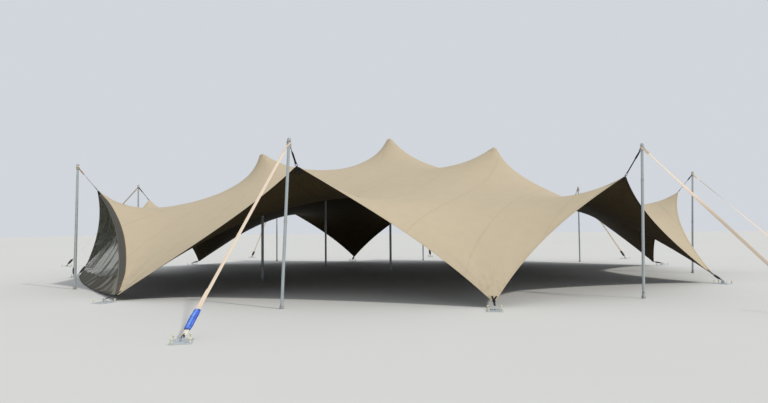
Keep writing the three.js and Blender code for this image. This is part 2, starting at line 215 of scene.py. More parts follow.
# The fastenings in order round the edge: tip, unit pull, way that the fabric faces there.
def fastenings():
    found = []
    for low, high in zip(LOW_POINTS, HIGH_POINTS):
        ends = [(low[0], (*low[1], STAKE_HEIGHT)), (high[0], pole_head(high))]
        for tip, end in ends:
            pull = unit(np.subtract(end, tip))
            across = level_across(pull)
            found.append((np.array(tip), pull, across, np.cross(pull, across)))
    return found


# Places in order round the edge of a net of r by c cells.
def ring_of(r, c):
    ring = [(i, 0) for i in range(r)] + [(r, j) for j in range(c)]
    return ring + [(i, c) for i in range(r, 0, -1)] + [(0, j) for j in range(c, 0, -1)]


# How far the pointed pad of an inner pole stands above its flat solid at a distance from its axis.
def peak(r):
    return PEAK * max(0.0, 1 - r / (1.45 * CAP_HALF_WIDTH)) ** 1.15


# Pins the tips and the caps on a net of n cells; caps says where each cap is and how it turns.
def pin(knots, n, fine, caps):
    held = np.zeros((n + 1, n + 1), bool)
    ring = ring_of(n, n)
    span = len(ring) // 16
    for place, (tip, _, across, _) in enumerate(fastenings()):
        for side in range(-fine, fine + 1):
            i, j = ring[(place * span + side) % len(ring)]
            knots[i, j] = tip + across * (side / fine * TIP_HALF_WIDTH)
            held[i, j] = True
    for (_, (x, y), height), (i, j, turn) in zip(MASTS, caps):
        for a in range(-fine, fine + 1):
            for b in range(-fine, fine + 1):
                da, db = a / fine * CAP_HALF_WIDTH, b / fine * CAP_HALF_WIDTH
                dx = da * math.cos(turn) - db * math.sin(turn)
                dy = da * math.sin(turn) + db * math.cos(turn)
                z = height + CAD_FABRIC / 2 + peak(math.hypot(da, db))
                knots[i * fine + a, j * fine + b] = (x + dx, y + dy, z)
                held[i * fine + a, j * fine + b] = True
    return held


# Moves each free knot to the balance of its links; the edge pulls harder, as its webbing does.
def relax(knots, held, n, rounds, over):
    along_u, along_v = np.ones((n, n + 1, 1)), np.ones((n + 1, n, 1))
    along_u[:, [0, -1]] = along_v[[0, -1]] = EDGE_STIFFNESS * n / CELLS

    def pulls(values):
        pull = np.zeros_like(values)
        pull[:-1] += along_u * values[1:]
        pull[1:] += along_u * values[:-1]
        pull[:, :-1] += along_v * values[:, 1:]
        pull[:, 1:] += along_v * values[:, :-1]
        return pull

    total = pulls(np.ones((n + 1, n + 1, 1)))
    i, j = np.indices((n + 1, n + 1))
    turns = [~held & ((i + j) % 2 == odd) for odd in (0, 1)]
    for _ in range(rounds):
        for turn in turns:
            knots[turn] += over * (pulls(knots)[turn] / total[turn] - knots[turn])


def find_form():
    n = CELLS
    knots = np.zeros((n + 1, n + 1, 3))
    ring = ring_of(n, n)
    span = len(ring) // 16
    tips = [fastening[0] for fastening in fastenings()]
    for k, (i, j) in enumerate(ring):
        part = (k % span) / span
        knots[i, j] = tips[k // span] * (1 - part) + tips[(k // span + 1) % 16] * part
    pin(knots, n, 1, [])
    u = np.linspace(0, 1, n + 1)[:, None, None]
    v = np.linspace(0, 1, n + 1)[None, :, None]
    filled = (1 - v) * knots[:, :1] + v * knots[:, -1:] + (1 - u) * knots[:1] + u * knots[-1:]
    filled -= (1 - u) * (1 - v) * knots[0, 0] + u * (1 - v) * knots[-1, 0]
    filled -= (1 - u) * v * knots[0, -1] + u * v * knots[-1, -1]
    knots[1:-1, 1:-1] = filled[1:-1, 1:-1]
    caps = []
    for _, (x, y), _ in MASTS:
        away = np.hypot(knots[2:-2, 2:-2, 0] - x, knots[2:-2, 2:-2, 1] - y)
        i, j = (int(k) + 2 for k in np.unravel_index(away.argmin(), away.shape))
        along = knots[i + 1, j] - knots[i - 1, j]
        caps.append((i, j, math.atan2(along[1], along[0])))
    held = pin(knots, n, 1, caps)
    relax(knots, held, n, *COARSE_RELAX)

    m = n * FINE
    read = weights(np.arange(m + 1) / FINE, n)
    finer = np.einsum("ai,ijc,bj->abc", read, knots, read, optimize=True)
    held = pin(finer, m, FINE, caps)
    relax(finer, held, m, *FINE_RELAX)
    return finer, caps


# Rows of Catmull-Rom weights that read a line of n + 1 knots at each place in lines.
def weights(lines, n):
    table = np.zeros((len(lines), n + 1))
    for row, x in enumerate(lines):
        k = min(int(x), n - 1)
        t = x - k
        shares = (
            (-t + 2 * t * t - t**3) / 2,
            (2 - 5 * t * t + 3 * t**3) / 2,
            (t + 4 * t * t - 3 * t**3) / 2,
            (t**3 - t * t) / 2,
        )
        for knot, share in zip(range(k - 1, k + 3), shares):
            if knot < 0:
                table[row, 0] += 2 * share
                table[row, 1] -= share
            elif knot > n:
                table[row, n] += 2 * share
                table[row, n - 1] -= share
            else:
                table[row, knot] += share
    return table


# Lines of the drawn sheet, in cells of the coarse net: evenly spaced, and finer near tips and caps.
def drawn_lines(caps_at):
    lines = set(np.arange(0, CELLS + 0.1, 1.0))
    for tip in range(0, CELLS + 1, CELLS // 4):
        lines.update(tip + k * 0.25 for k in range(-12, 13))
    for cap in caps_at:
        lines.update(cap + k * 0.5 for k in range(-8, 9))
    return np.array(sorted(x for x in lines if 0 <= x <= CELLS))


def facings(points):
    du = np.gradient(points, axis=0)
    dv = np.gradient(points, axis=1)
    return unit(np.cross(du, dv))


# Points and faces of a closed sheet between two grids: upper faces, lower faces, then the rim.
def closed_grid(upper, lower):
    rows, columns = upper.shape[:2]
    count = rows * columns
    index = np.arange(count).reshape(rows, columns)
    a, b, c, d = index[:-1, :-1], index[1:, :-1], index[1:, 1:], index[:-1, 1:]
    top = np.stack([a, b, c, d], -1).reshape(-1, 4)
    bottom = np.stack([a, d, c, b], -1).reshape(-1, 4) + count
    loop = np.concatenate([index[:-1, 0], index[-1, :-1], index[:0:-1, -1], index[0, :0:-1]])
    after = np.roll(loop, -1)
    rim = np.stack([loop, loop + count, after + count, after], -1)
    points = np.concatenate([upper.reshape(-1, 3), lower.reshape(-1, 3)])
    marks = np.repeat([0, 1, 2], [len(top), len(bottom), len(rim)])
    return points, np.concatenate([top, bottom, rim]), marks


def new_mesh(name, points, faces, looks, marks=None):
    mesh = bpy.data.meshes.new(name)
    mesh.from_pydata(points, [], faces)
    for look in looks:
        mesh.materials.append(look)
    if marks is not None:
        mesh.polygons.foreach_set("material_index", marks)
    mesh.polygons.foreach_set("use_smooth", [True] * len(faces))
    return mesh


# Gathers closed shells, each with its finish and its own length and width coordinates.
class Shape:
    def __init__(self):
        self.points, self.faces, self.marks, self.along = [], [], [], []

    def add(self, points, faces, mark=0, along=None):
        base = len(self.points)
        points = [tuple(map(float, p)) for p in points]
        self.points += points
        self.faces += [tuple(int(k) + base for k in face) for face in faces]
        self.marks += [mark] * len(faces)
        self.along += points if along is None else np.reshape(along, (-1, 3)).tolist()

    # A closed strip between two grids, which share their coordinates.
    def add_sheet(self, upper, lower, mark, along):
        points, faces, _ = closed_grid(upper, lower)
        self.add(points, faces, mark, [along, along])

    def build(self, name, looks, slot, nodes=(), crease=35):
        mesh = new_mesh(name, self.points, self.faces, looks, self.marks)
        store(mesh, "along", self.along)
        edit = bmesh.new()
        edit.from_mesh(mesh)
        bmesh.ops.recalc_face_normals(edit, faces=edit.faces)
        edit.to_mesh(mesh)
        edit.free()
        mesh.set_sharp_from_angle(angle=math.radians(crease))
        return place(name, mesh, slot, nodes)


def store(mesh, name, values):
    values = np.asarray(values, float)
    kind = "FLOAT" if values.ndim == 1 else "FLOAT_VECTOR"
    field = "value" if values.ndim == 1 else "vector"
    layer = mesh.attributes.new(name, kind, "POINT")
    layer.data.foreach_set(field, values.astype(np.float32).ravel())


# A closed sheet of even thickness on a grid of points, with values stored for both of its faces.
def sheet_mesh(name, middle, facing, half, looks, fields):
    points, faces, marks = closed_grid(middle + facing * half, middle - facing * half)
    mesh = new_mesh(name, points.tolist(), faces.tolist(), looks, marks if len(looks) > 1 else None)
    for field, values in fields.items():
        flat = values.reshape(-1, *values.shape[2:])
        store(mesh, field, np.concatenate([flat, flat]))
    return mesh


def place(name, mesh, slot, nodes=()):
    piece = bpy.data.objects.new(name, mesh)
    bpy.context.scene.collection.objects.link(piece)
    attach(piece, "root")
    if nodes:
        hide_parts(*nodes)
    return piece


# Faces between successive rings of points, with flat ends or closed into a loop.
def loft(shape, rings, mark=0, along=None, loop=False, ends=None):
    rings = np.asarray(rings, float)
    count, sides = rings.shape[:2]
    index = np.arange(count * sides).reshape(count, sides)
    after = np.roll(index, -1, axis=1)
    last = count if loop else count - 1
    faces = []
    for r in range(last):
        s = (r + 1) % count
        faces += list(zip(index[r], index[s], after[s], after[r]))
    shape.add(rings.reshape(-1, 3), faces, mark, along)
    if not loop:
        base = len(shape.points) - count * sides
        for r in (0, count - 1):
            shape.faces.append(tuple(int(k) + base for k in index[r]))
            shape.marks.append(mark if ends is None else ends)


# Two ways square to a path at each of its points, which turn with it as little as they can.
def frames_along(path, loop):
    tangent = tangents(path, loop)
    side = np.cross(tangent[0], (0, 0, 1.0))
    if np.linalg.norm(side) < 0.2:
        side = np.cross(tangent[0], (0, 1.0, 0))
    sides = []
    for t in tangent:
        side = unit(side - t * np.dot(side, t))
        sides.append(side)
    sides = np.array(sides)
    return sides, np.cross(tangent, sides)


def tube(shape, path, radius, mark, loop=False):
    path = np.asarray(path, float)
    a, b = frames_along(path, loop)
    spokes = sweep(a[:, None], b[:, None], circle(10)[:, None])
    loft(shape, path[:, None] + radius * spokes, mark, loop=loop)


# A closed strap along a path, with the way that its width lies at each point.
def ribbon(shape, path, widths, width, thickness, mark=0):
    path = np.asarray(path, float)
    widths = np.broadcast_to(np.asarray(widths, float), path.shape)
    tangent = tangents(path)
    facing = unit(np.cross(tangent, widths))
    widths = np.cross(facing, tangent)
    h, t = width / 2, thickness / 2
    across = np.array([-h, t - h, h - t, h, h, h - t, t - h, -h])
    rise = np.array([-0.4, -1, -1, -0.4, 0.4, 1, 1, 0.4]) * t
    rings = path[:, None] + widths[:, None] * across[:, None] + facing[:, None] * rise[:, None]
    loft(shape, rings, mark, strip_along(arc_lengths(path), across))


# A turned body of radii and heights along an axis. An end that isn't on the axis is closed flat.
def turned(shape, profile, base, axis=(0, 0, 1), sides=28, marks=None, lean=(0, 0)):
    marks = marks or [0] * (len(profile) - 1)
    if profile[0][0] > 0:
        profile, marks = [(0.0, profile[0][1]), *profile], [marks[0], *marks]
    if profile[-1][0] > 0:
        profile, marks = [*profile, (0.0, profile[-1][1])], [*marks, marks[-1]]
    axis = unit(axis)
    side = np.cross(axis, (0, 1.0, 0)) if abs(axis[1]) < 0.9 else np.cross(axis, (1.0, 0, 0))
    side = unit(side)
    other = np.cross(axis, side)
    spokes = sweep(side, other, circle(sides)[:, None])
    slant = np.array((lean[0], lean[1], 0.0))
    points, rows, along = [], [], []
    for r, z in profile:
        count = sides if r > 0 else 1
        rows.append([len(points) + k % count for k in range(sides)])
        points += list(base + spokes[:count] * r + axis * z + slant * z)
        along += [(z, math.radians(360 / sides) * k * max(r, 0.01), r) for k in range(count)]
    faces, face_marks = [], []
    for low, high, mark in zip(rows, rows[1:], marks):
        for k in range(sides):
            n = (k + 1) % sides
            faces.append(tuple(dict.fromkeys((low[k], low[n], high[n], high[k]))))
            face_marks.append(mark)
    shape.add(points, faces, 0, along)
    shape.marks[-len(faces):] = face_marks


# Turns a body from runs of points, each with the finish of the faces that end at them.
def turned_runs(shape, runs, base, sides, lean=(0, 0)):
    profile = [point for _, points in runs for point in points]
    marks = [mark for mark, points in runs for _ in points][1:]
    turned(shape, profile, base, (0, 0, 1), sides, marks, lean)


# Looks. Colours are given as they read on screen, 0 to 255, and turned to linear ones.
def tone(red, green, blue):
    def linear(c):
        c /= 255
        return c / 12.92 if c <= 0.04045 else ((c + 0.055) / 1.055) ** 2.4

    return tuple(linear(c) for c in (red, green, blue)) + (1.0,)


class Look:
    def __init__(self, name, roughness, metallic=0.0, **settings):
        self.material = bpy.data.materials.new(name)
        self.material.use_nodes = True
        self.tree = self.material.node_tree
        self.tree.nodes.clear()
        self.shader = self.tree.nodes.new("ShaderNodeBsdfPrincipled")
        output = self.tree.nodes.new("ShaderNodeOutputMaterial")
        self.tree.links.new(self.shader.outputs[0], output.inputs[0])
        self.shader.inputs["Roughness"].default_value = roughness
        self.shader.inputs["Metallic"].default_value = metallic
        for key, value in settings.items():
            self.shader.inputs[key.replace("_", " ")].default_value = value
        self.normal = None

    def feed(self, socket, value):
        if isinstance(value, bpy.types.NodeSocket):
            self.tree.links.new(value, socket)
        else:
            socket.default_value = value

    def node(self, kind, inputs=(), **settings):
        node = self.tree.nodes.new("ShaderNode" + kind)
        for key, value in settings.items():
            setattr(node, key, value)
        for socket, value in dict(inputs).items():
            self.feed(node.inputs[socket], value)
        return node

    def attribute(self, name, part="Vector"):
        return self.node("Attribute", attribute_name=name).outputs[part]

    def place(self):
        return self.node("TexCoord").outputs["Object"]

    def parts(self, vector):
        return self.node("SeparateXYZ", {0: vector}).outputs

    def scaled(self, vector, by):
        return self.node("VectorMath", {0: vector, 1: by}, operation="MULTIPLY").outputs[0]

    def noise(self, at, scale, detail=3.0, rough=0.55):
        inputs = {"Vector": at, "Scale": scale, "Detail": detail, "Roughness": rough}
        return self.node("TexNoise", inputs).outputs[0]

    def calc(self, operation, a, b=0.0):
        return self.node("Math", {0: a, 1: b}, operation=operation).outputs[0]

    def times(self, a, b):
        return self.calc("MULTIPLY", a, b)

    # Threads that cross: high where both of them are.
    def weave(self, at, *scales):
        ways = zip("XY", scales)
        waves = [self.node("TexWave", {"Vector": at, "Scale": s}, bands_direction=w) for w, s in ways]
        return self.times(*(wave.outputs["Fac"] for wave in waves))

    def span(self, value, low, high, to_low=0.0, to_high=1.0):
        inputs = {0: value, 1: low, 2: high, 3: to_low, 4: to_high}
        return self.node("MapRange", inputs, interpolation_type="SMOOTHSTEP").outputs[0]

    def mix(self, share, a, b):
        return self.node("Mix", {0: share, 6: a, 7: b}, data_type="RGBA").outputs[2]

    def bump(self, height, distance, strength=1.0):
        inputs = {"Height": height, "Distance": distance, "Strength": strength}
        if self.normal is not None:
            inputs["Normal"] = self.normal
        self.normal = self.node("Bump", inputs).outputs[0]

    def done(self, colour, roughness=None, alpha=None):
        self.feed(self.shader.inputs["Base Color"], colour)
        if roughness is not None:
            self.feed(self.shader.inputs["Roughness"], roughness)
        if alpha is not None:
            self.feed(self.shader.inputs["Alpha"], alpha)
        if self.normal is not None:
            self.feed(self.shader.inputs["Normal"], self.normal)
        return self.material


def shade(colour, by):
    return tuple(c * by for c in colour[:3]) + (1.0,)


# How near a place is to a welded seam: 1 on it, 0 away from it.
def seam_line(look, half, soft):
    phase = look.attribute("seam", "Fac")
    away = look.calc("ABSOLUTE", look.calc("SUBTRACT", look.calc("FRACT", phase), 0.5))
    return look.span(away, half, half + soft, 1.0, 0.0), look.calc("FLOOR", phase)


# Coated stretch knit: broad uneven tint, a tint for each width of fabric, seams, pulls at the tips.
def cloth_look(name, base, seam, roughness, grain):
    look = Look(name, roughness, Specular_IOR_Level=0.25)
    at = look.place()
    colour = look.mix(look.noise(at, 0.35, 2.0), shade(base, 0.95), shade(base, 1.05))
    blotch = look.span(look.noise(at, 4.0, 5.0, 0.6), 0.3, 0.75)
    colour = look.mix(blotch, colour, look.mix(0.12, colour, shade(base, 0.72)))
    line, width = seam_line(look, 0.010, 0.008)
    tint = look.node("TexWhiteNoise", {"W": width}, noise_dimensions="1D").outputs[0]
    tinted = look.mix(look.times(tint, 0.10), colour, shade(base, 0.80))
    low = look.span(look.parts(at)[2], 0.05, 0.75, 1.0, 0.0)
    dusty = look.times(low, look.span(look.noise(at, 9.0, 5.0), 0.42, 0.7))
    colour = look.mix(look.times(dusty, 0.35), tinted, tone(120, 112, 88))
    colour = look.mix(look.times(line, 0.25), colour, shade(base, seam))
    r, angle, near = look.parts(look.attribute("tip"))
    fan = look.node("CombineXYZ", {0: look.times(r, 0.8), 1: look.times(angle, 11.0)})
    pulls = look.times(look.noise(fan.outputs[0], 1.0, 4.0, 0.6), near)
    loops = look.weave(look.attribute("cloth"), 52.0, 70.0)
    look.bump(look.noise(at, 1.1, 2.0, 0.4), 0.03, 0.25)
    look.bump(pulls, 0.02, 0.5)
    look.bump(line, 0.0015, 0.3)
    look.bump(loops, 0.0006, grain)
    rough = look.span(blotch, 0.0, 1.0, roughness - 0.04, roughness + 0.05)
    return look.done(colour, rough)


# Woven webbing; its coordinates are length, width and the share of the half width.
def webbing_look(name, base, edge=0.6, wear=0.6):
    look = Look(name, 0.75, Specular_IOR_Level=0.3)
    along = look.attribute("along")
    u, v, share = look.parts(along)
    twill = look.node("CombineXYZ", {0: look.calc("ADD", u, v), 1: look.calc("SUBTRACT", u, v)})
    weave = look.weave(twill.outputs[0], 62.0, 62.0)
    stains = look.noise(look.scaled(along, (2.2, 9.0, 1.0)), 1.5, 4.0, 0.6)
    border = look.span(look.calc("ABSOLUTE", share), 0.74, 0.86)
    colour = look.mix(look.span(weave, 0.1, 0.7), shade(base, 0.4 + 0.5 * wear), shade(base, 1.1))
    colour = look.mix(look.span(stains, 0.45, 0.75, 0.0, 0.45), colour, shade(base, wear))
    colour = look.mix(look.times(border, 0.5), colour, shade(base, edge))
    look.bump(weave, 0.0006, 0.6)
    return look.done(colour, look.span(stains, 0.3, 0.7, 0.70, 0.85))


# Dull drawn tube: streaks along it, scuffs and soil towards the foot.
def tube_look(name, base, metallic, roughness):
    look = Look(name, roughness, metallic)
    along = look.attribute("along")
    at = look.place()
    streaks = look.noise(look.scaled(along, (1.2, 90.0, 0.0)), 1.0, 4.0, 0.65)
    scuffs = look.span(look.noise(at, 14.0, 6.0, 0.7), 0.52, 0.68)
    colour = look.mix(streaks, shade(base, 0.82), shade(base, 1.15))
    colour = look.mix(look.times(scuffs, 0.35), colour, shade(base, 0.6))
    soil = look.times(look.span(look.parts(along)[0], 0.0, 0.35, 1.0, 0.0), scuffs)
    colour = look.mix(look.times(soil, 0.7), colour, tone(96, 88, 66))
    look.bump(streaks, 0.0008, 0.35)
    rough = look.span(streaks, 0.25, 0.75, roughness - 0.08, roughness + 0.15)
    return look.done(colour, rough)


# Galvanised steel with its spangle, or a surface that has chipped to the worn colour if one is given.
def plate_look(name, base, metallic, roughness, worn=None):
    look = Look(name, roughness, metallic)
    at = look.place()
    cells = look.node("TexVoronoi", {"Vector": at, "Scale": 55.0})
    grain = look.parts(cells.outputs["Color"])[0]
    colour = look.mix(grain, shade(base, 0.88), shade(base, 1.1))
    marks = look.noise(at, 40.0, 6.0, 0.7)
    colour = look.mix(look.span(marks, 0.45, 0.7, 0.0, 0.5), colour, worn or shade(base, 0.62))
    look.bump(marks, 0.001, 0.35)
    return look.done(colour, look.span(marks, 0.3, 0.7, roughness - 0.1, roughness + 0.18))


# Padded nylon cover of a ratchet.
def cover_look(name, base, roughness):
    look = Look(name, roughness, Specular_IOR_Level=0.5)
    at = look.place()
    fine = look.node("TexChecker", {"Vector": at, "Scale": 900.0}).outputs["Fac"]
    wear = look.noise(at, 22.0, 5.0, 0.6)
    colour = look.mix(look.span(wear, 0.3, 0.75), shade(base, 0.8), shade(base, 1.25))
    look.bump(look.noise(at, 28.0, 3.0), 0.006, 0.5)
    look.bump(fine, 0.0003, 0.3)
    return look.done(colour, look.span(wear, 0.3, 0.7, roughness - 0.08, roughness + 0.12))


# Sheer mesh. Its attribute veil holds where it is hemmed, how high it stands in a fold (raised further
# towards its lower right), and where it is given painted shade. The more it is gathered, the less is seen
# through it and the lighter it is painted, a painted highlight on the fold crests.
def sheer_look(name, base, lit, hemmed):
    look = Look(name, 0.85, Specular_IOR_Level=0.2)
    cloth = look.attribute("cloth")
    veil, fold, dense = look.parts(look.attribute("veil"))
    holes = look.weave(cloth, 90.0, 90.0)
    patches = look.noise(cloth, 2.2, 4.0, 0.6)
    gathered = look.span(look.calc("ADD", fold, look.times(patches, 0.9)), -0.2, 1.1)
    thin = look.span(gathered, 0.0, 1.0, 0.36, 0.86)
    thin = look.calc("ADD", thin, look.span(holes, 0.2, 0.8, 0.05, -0.05))
    # Where dense is high the mesh is made more opaque, and further down darker: painted shade standing in
    # for the shade behind it.
    thin = look.calc("ADD", thin, look.times(dense, 0.34))
    folded = look.span(veil, 0.2, 0.8)
    alpha = look.calc("MAXIMUM", thin, folded)
    # Gathered places take the lighter colour lit, which is painted light on the fold crests; dense then
    # darkens them with painted shade.
    tint = look.mix(gathered, base, lit)
    tint = look.mix(dense, tint, shade(base, 0.75))
    # In the hem, fold troughs are painted dark and crests light: painted shade and painted light. The
    # hem's colour is its own grey made lighter as painted light, since the lamps leave the hem in shade.
    hem_fold_shading = look.mix(gathered, shade(hemmed, 0.50), shade(hemmed, 1.35))
    colour = look.mix(folded, tint, hem_fold_shading)
    look.bump(patches, 0.01, 0.4)
    look.bump(holes, 0.0004, 0.4)
    return look.done(colour, None, alpha)


CLOTH_TOP = cloth_look("cloth_top", tone(195, 180, 153), 0.86, 0.82, 0.30)
# The underside is a dark brown backing, drawn darker still as painted shade, so it stays dark under light
# thrown up from the pale floor.
CLOTH_UNDER_SHADED = cloth_look("cloth_under_shaded", tone(55, 44, 22), 0.80, 0.88, 0.25)
CLOTH_RIM = cloth_look("cloth_rim", tone(192, 177, 151), 0.85, 0.85, 0.30)
HEM_GREY = cloth_look("wall_header_cloth", tone(80, 78, 73), 0.9, 0.85, 0.30)
BLACK_WEB = webbing_look("webbing_black", tone(26, 26, 28), 0.8)
TAN_WEB = webbing_look("webbing_tan", tone(176, 150, 112))
PEACH_WEB = webbing_look("webbing_peach", tone(246, 226, 202), 0.9, 0.88)
CREAM_WEB = webbing_look("webbing_cream", tone(246, 240, 218), 0.9, 0.88)
TRIM_WEB = webbing_look("webbing_trim", tone(112, 92, 70))
TUBE = tube_look("pole_tube", tone(180, 187, 189), 0.35, 0.42)
CAP_GREY = tube_look("pole_cap", tone(172, 174, 172), 0.1, 0.55)
FOOT = tube_look("pole_foot", tone(158, 162, 162), 0.3, 0.5)
PAD = plate_look("mast_pad", tone(150, 140, 118), 0.0, 0.7)
GALVANISED = plate_look("galvanised", tone(206, 212, 215), 0.5, 0.40)
FORGED = plate_look("forged_hook", tone(62, 62, 64), 0.7, 0.5)
STAKE_PAINT = plate_look("stake_paint", tone(226, 222, 194), 0.0, 0.55, tone(150, 146, 132))
BLUE_COVER = cover_look("cover_blue", tone(50, 92, 196), 0.26)
# The blue cover's closing flap is a lighter blue: a painted highlight along the cover's crown.
BLUE_FLAP_HIGHLIGHT = cover_look("cover_flap_highlight", tone(112, 154, 236), 0.24)
BLACK_COVER = cover_look("cover_black", tone(36, 36, 40), 0.45)
# Near black inside the covers' open ends: painted shade in the openings.
INSIDE_PAINTED_SHADE = cover_look("cover_inside_shade", tone(20, 21, 26), 0.8)
# The mesh's colour; lit, its lighter colour where gathered, which is painted light on the fold crests; and
# the hem's grey, made lighter as painted light.
SHEER = sheer_look("sheer_mesh", tone(78, 79, 66), tone(100, 99, 86), tone(122, 118, 106))
SEAM_TOP = cloth_look("seam_tape", tone(191, 176, 149), 0.95, 0.80, 0.2)
# The seam tapes' underside colour is darker than the cloth's underside, and is partly painted shade.
SEAM_UNDER_SHADED = cloth_look("seam_tape_under_shaded", tone(46, 36, 21), 0.95, 0.85, 0.2)
HEM_TOP = cloth_look("hem", tone(192, 177, 150), 0.9, 0.8, 0.3)
# The hem's underside colour is dark, and is partly painted shade.
HEM_UNDER_SHADED = cloth_look("hem_under_shaded", tone(46, 37, 22), 0.9, 0.85, 0.3)
HEM_GREY_WEB = webbing_look("wall_hem_webbing", tone(96, 92, 84))


# The canopy
class Canopy:
    def __init__(self):
        knots, caps = find_form()
        n = CELLS * FINE
        self.u = drawn_lines([cap[0] for cap in caps])
        self.v = drawn_lines([cap[1] for cap in caps])
        self.knots = knots
        read_u, read_v = weights(self.u * FINE, n), weights(self.v * FINE, n)
        middle = np.einsum("ai,ijc,bj->abc", read_u, knots, read_v, optimize=True)
        self.middle = middle
        rim = np.concatenate([middle[:, 0], middle[-1], middle[::-1, -1], middle[0, ::-1]])
        length = arc_lengths(rim)
        dense = np.arange(0, length[-1], 0.02)
        rim = read_line(dense, length, rim)
        tree = KDTree(len(rim))
        for k, point in enumerate(rim):
            tree.insert(point, k)
        tree.balance()
        flat = middle.reshape(-1, 3)
        self.edge = np.array([tree.find(p)[2] for p in flat]).reshape(middle.shape[:2])
        facing = self.faced(middle)
        self.tip = self.tip_places(middle)
        self.middle = middle + facing * self.folds()[..., None]
        self.facing = self.faced(self.middle)
        quads = closed_grid(self.middle, self.middle)[1]
        count = (len(self.u) - 1) * (len(self.v) - 1)
        self.tree = BVHTree.FromPolygons(self.middle.reshape(-1, 3).tolist(), quads[:count].tolist())

    # The way that the sheet faces, which at a tip is the way that the pull leaves it.
    def faced(self, middle):
        facing = facings(middle)
        for tip, _, _, face in fastenings():
            far = smooth(sizes(middle - tip), 0.045, 0.13)[..., None]
            facing = unit(facing * far + face * (1 - far))
        return facing

    # For each point: how far the nearest tip is, at what angle, and how near that counts.
    def tip_places(self, middle):
        places = np.zeros(middle.shape)
        nearest = np.full(middle.shape[:2], np.inf)
        for tip, pull, across, _ in fastenings():
            away = middle - tip
            r = sizes(away)
            angle = np.arctan2(away @ across, -(away @ pull))
            close = r < nearest
            near = smooth(r, 0.06, 0.25) * (1 - smooth(r, 0.5, 2.2))
            places[close] = np.stack([r, angle, near], -1)[close]
            nearest[close] = r[close]
        return places

    # Soft folds that run out from every tip, where the pull gathers the fabric.
    def folds(self):
        r, angle, _ = np.moveaxis(self.tip, -1, 0)
        reach = smooth(r, 0.08, 0.35) * (1 - smooth(r, 0.45, 1.9))
        inside = smooth(self.edge, 0.02, 0.16)
        wave = 0.55 * np.sin(13 * angle + 0.7) + 0.45 * np.sin(23 * angle - 1.1 + 0.8 * r)
        slack = 0.012 * np.sin(5 * angle + 0.4) * smooth(r, 0.3, 0.9) * (1 - smooth(r, 1.0, 2.6))
        return (0.0075 * wave * reach + slack) * inside

    # Points of the sheet at places given in cells of the coarse net.
    def at(self, u, v):
        n = CELLS * FINE
        read_u, read_v = weights(np.asarray(u) * FINE, n), weights(np.asarray(v) * FINE, n)
        return np.einsum("ki,ijc,kj->kc", read_u, self.knots, read_v, optimize=True)

    def snap(self, points):
        found = [self.tree.find_nearest(Vector(p)) for p in np.reshape(points, (-1, 3))]
        return [np.array([f[k] for f in found]).reshape(np.shape(points)) for k in (0, 1)]

    # A grid of points laid on one face of the sheet: its outside, and its inside sunk in a little.
    def lay(self, grid, side, height):
        spots, ways = self.snap(grid)
        return [spots + ways * side * (FABRIC_HALF + h) for h in (height, -SUNK)]

    def hug(self, shape, grid, side, height, mark, along):
        shape.add_sheet(*self.lay(grid, side, height), mark, along)

    def build(self):
        u, v = np.meshgrid(self.u, self.v, indexing="ij")
        phase = (v - SEAM_SLANT * u - SEAM_START) / SEAM_PITCH + 0.5
        fields = {"seam": phase, "tip": self.tip, "cloth": np.stack([u, v, 0 * u], -1) * 0.17}
        # The lower faces take the underside's colour, which is partly painted shade.
        looks = [CLOTH_TOP, CLOTH_UNDER_SHADED, CLOTH_RIM]
        mesh = sheet_mesh("canopy", self.middle, self.facing, FABRIC_HALF, looks, fields)
        mesh.set_sharp_from_angle(angle=math.radians(60))
        nodes = [node for node in NODES if node.startswith("canopy_panel")]
        place("canopy", mesh, "stretch_fabric", nodes)


# Strip of points beside a path on the sheet, at offsets from it.
def beside(path, ways, offsets):
    sides = unit(np.cross(ways, np.gradient(path, axis=0)))
    return path[:, None] + sides[:, None] * np.asarray(offsets)[:, None]


# Welded tapes over the joins of the fabric's widths, on both faces.
def make_seams(canopy):
    shape = Shape()
    first = math.ceil((-SEAM_SLANT * CELLS - SEAM_START) / SEAM_PITCH)
    last = math.floor((CELLS - SEAM_START) / SEAM_PITCH)
    for number in range(first, last + 1):
        start = SEAM_START + SEAM_PITCH * number
        low = max(0.0, -start / SEAM_SLANT)
        high = min(CELLS, (CELLS - start) / SEAM_SLANT)
        u = np.arange(low + 0.25, high - 0.25, 0.55)
        if len(u) < 4:
            continue
        path = canopy.at(u, start + SEAM_SLANT * u)
        spots, ways = canopy.snap(path)
        grid = beside(spots, ways, SEAM_TAPE)
        along = strip_along(arc_lengths(spots), SEAM_TAPE)
        for side in (1, -1):
            canopy.hug(shape, grid, side, 0.0012, 0 if side > 0 else 1, along)
    return shape.build("canopy_seams", [SEAM_TOP, SEAM_UNDER_SHADED], "stretch_fabric")


# The perimeter in order, with its inward way and the way that the sheet faces.
def perimeter(canopy):
    r, c = np.subtract(canopy.middle.shape[:2], 1)
    i, j = np.transpose(ring_of(r, c))
    edge, facing = canopy.middle[i, j], canopy.facing[i, j]
    inward = canopy.middle[np.clip(i, 1, r - 1), np.clip(j, 1, c - 1)] - edge
    inward = square_to(square_to(inward, tangents(edge, loop=True)), facing)
    return edge, unit(inward), facing


# A stitched webbing hem folded round the whole edge.
def make_hem(canopy):
    edge, inward, facing = perimeter(canopy)
    section = [(0.042, 0.0022), (0.036, 0.0034), (0.004, 0.0038), (-0.003, 0.002)]
    section += [(d, -h) for d, h in reversed(section)]
    rings = np.stack([edge + inward * d + facing * h for d, h in section], 1)
    along = strip_along(arc_lengths(edge), [d for d, _ in section])
    shape = Shape()
    loft(shape, rings, 0, along, loop=True)
    shape.marks = [0, 0, 0, 0, 1, 1, 1, 1] * len(edge)
    return shape.build("canopy_hem", [HEM_TOP, HEM_UNDER_SHADED], "stretch_fabric")


